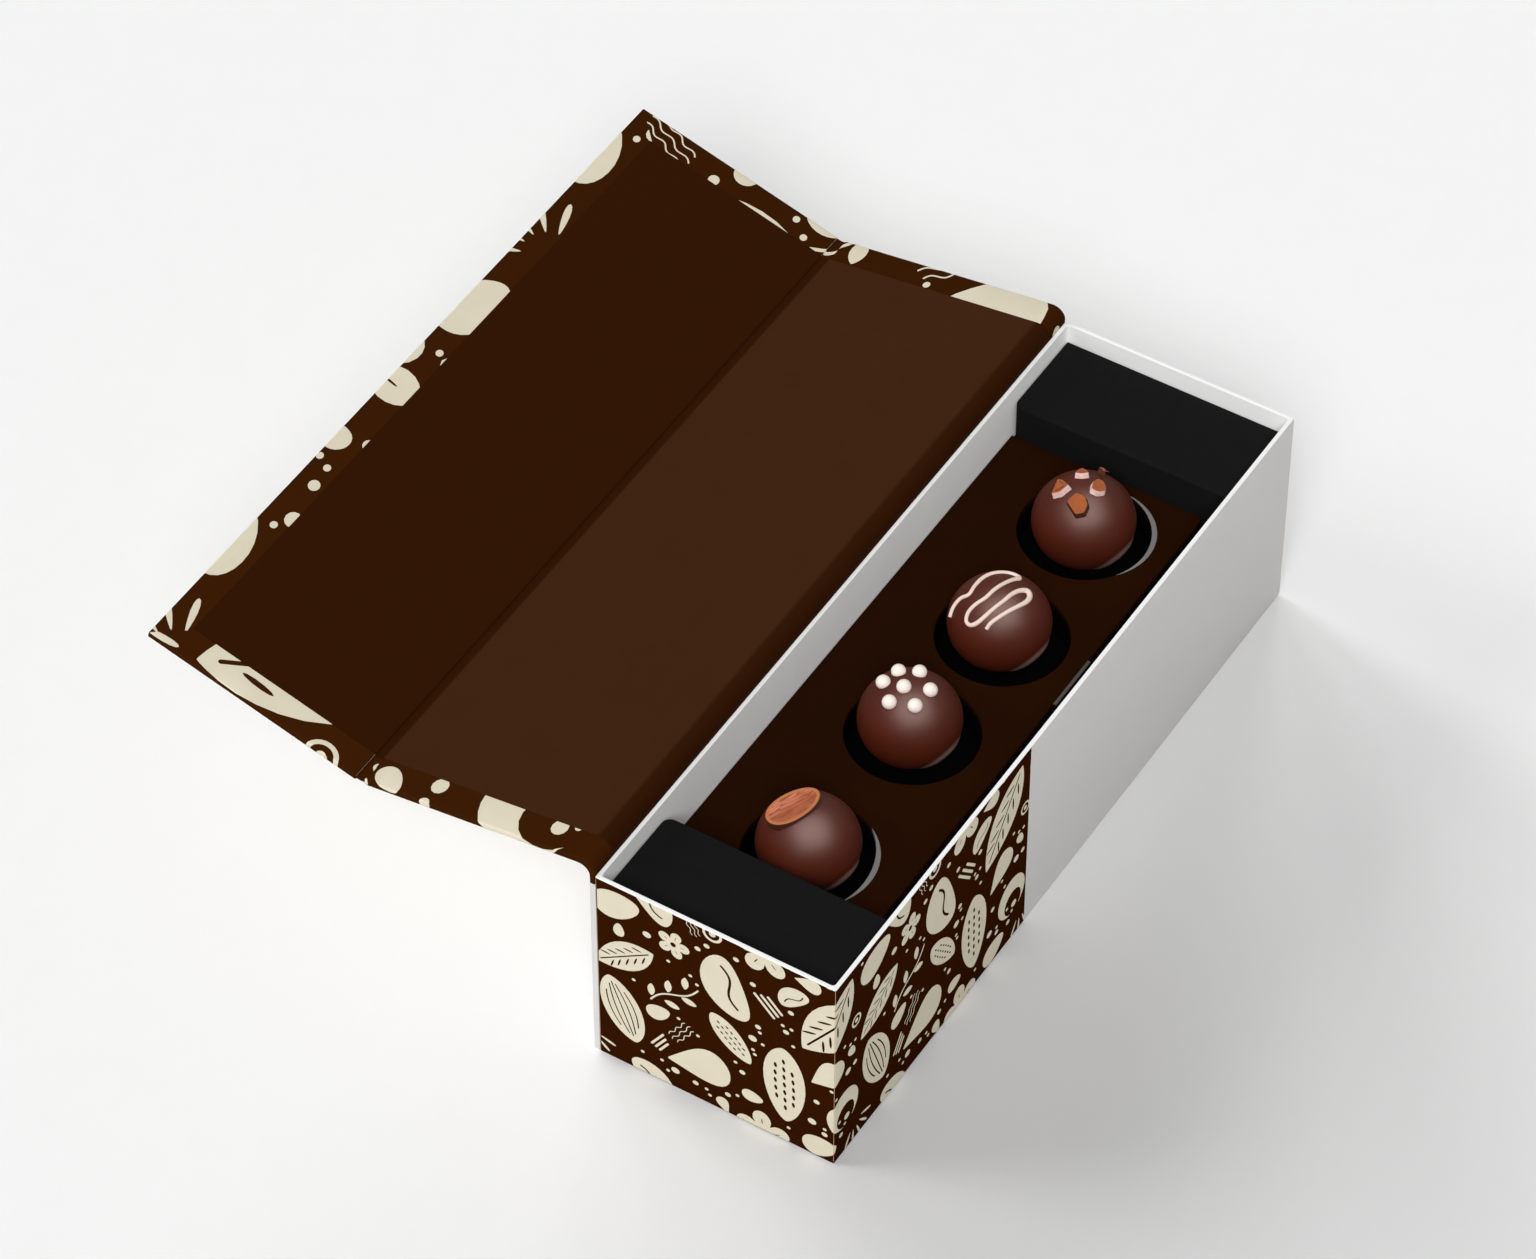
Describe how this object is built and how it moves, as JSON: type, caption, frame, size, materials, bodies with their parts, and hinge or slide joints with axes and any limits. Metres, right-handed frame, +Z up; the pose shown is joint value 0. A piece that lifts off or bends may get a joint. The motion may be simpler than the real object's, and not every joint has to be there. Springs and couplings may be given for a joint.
{
  "type": "chocolate box",
  "caption": "Long rigid gift box with a hinged two-panel book cover, open, holding a row of sweets in round wells of a foam insert.",
  "frame": {"origin": "centre of the tray's underside", "axes": "+X along the box, +Y from the front wall towards the cover's hinge, +Z up"},
  "size_m": [0.22, 0.1937, 0.0758],
  "materials": {
    "grey_board": "solid grey board",
    "printed_wrap": "dark brown printed wrap paper with a pale pattern, satin",
    "plain_wrap": "pale grey wrap paper, matte",
    "cover_wrap": "dark brown printed wrap paper with a pale pattern, satin",
    "cover_liner": "plain dark brown liner paper, matte",
    "white_lining": "white lining paper, matte",
    "stay_tape": "brown paper tape",
    "black_foam": "black closed-cell foam",
    "brown_card": "dark brown card with a grey core",
    "chocolate": "dark milk chocolate, dusted satin",
    "ganache": "soft chocolate filling",
    "almond": "roasted almond slice",
    "sugar_pearl": "white sugar pearls, satin",
    "icing": "white chocolate line",
    "chopped_nut": "chopped roasted nut",
    "magnet": "plated disc magnet",
    "keeper_steel": "plain steel plate"
  },
  "bodies": {
    "tray": {"tray_base_wrap": "plain_wrap", "tray_floor_board": "grey_board", "tray_front_board": "grey_board", "tray_back_board": "grey_board", "tray_left_board": "grey_board", "tray_right_board": "grey_board", "tray_corner_stays": "stay_tape", "tray_side_wrap": "printed_wrap", "tray_lining": "white_lining", "tray_floor_paper": "white_lining", "keeper_plates": "keeper_steel", "cover_back_board": "grey_board", "cover_back_wrap": "plain_wrap", "cover_spine": "cover_wrap"},
    "lid": {"lid_board": "grey_board", "lid_wrap": "cover_wrap", "lid_liner": "cover_liner", "cover_fold": "cover_liner"},
    "flap": {"flap_board": "grey_board", "flap_wrap": "cover_wrap", "flap_liner": "cover_liner", "flap_magnets": "magnet"},
    "insert": {"foam_base": "black_foam", "foam_wells": "black_foam", "foam_left_block": "black_foam", "foam_right_block": "black_foam", "platform_card": "brown_card"},
    "sweet_1": {"sweet_1_shell": "chocolate", "sweet_1_filling": "ganache", "sweet_1_nut_slice": "almond"},
    "sweet_2": {"sweet_2_shell": "chocolate", "sweet_2_filling": "ganache", "sweet_2_pearls": "sugar_pearl"},
    "sweet_3": {"sweet_3_shell": "chocolate", "sweet_3_filling": "ganache", "sweet_3_drizzle": "icing"},
    "sweet_4": {"sweet_4_shell": "chocolate", "sweet_4_filling": "ganache", "sweet_4_nut_pieces": "chopped_nut"}
  },
  "joints": [
    {"name": "lid_hinge", "type": "hinge", "parent": "tray", "child": "lid", "pos_m": [0, 0.0332, 0.06645], "axis": [-1, 0, 0], "range_deg": [-188.11, 0], "deforming": ["cover_spine"]},
    {"name": "flap_hinge", "type": "hinge", "parent": "lid", "child": "flap", "pos_m": [0, 0.09976, 0.05863], "axis": [-1, 0, 0], "range_deg": [-66.34, 23.66], "deforming": ["cover_fold"]},
    {"name": "insert_lift", "type": "slide", "parent": "tray", "child": "insert", "axis": [0, 0, 1], "range_m": [0, 0.07]},
    {"name": "sweet_1_lift", "type": "slide", "parent": "insert", "child": "sweet_1", "axis": [0, 0, 1], "range_m": [0, 0.03]},
    {"name": "sweet_2_lift", "type": "slide", "parent": "insert", "child": "sweet_2", "axis": [0, 0, 1], "range_m": [0, 0.03]},
    {"name": "sweet_3_lift", "type": "slide", "parent": "insert", "child": "sweet_3", "axis": [0, 0, 1], "range_m": [0, 0.03]},
    {"name": "sweet_4_lift", "type": "slide", "parent": "insert", "child": "sweet_4", "axis": [0, 0, 1], "range_m": [0, 0.03]}
  ]
}
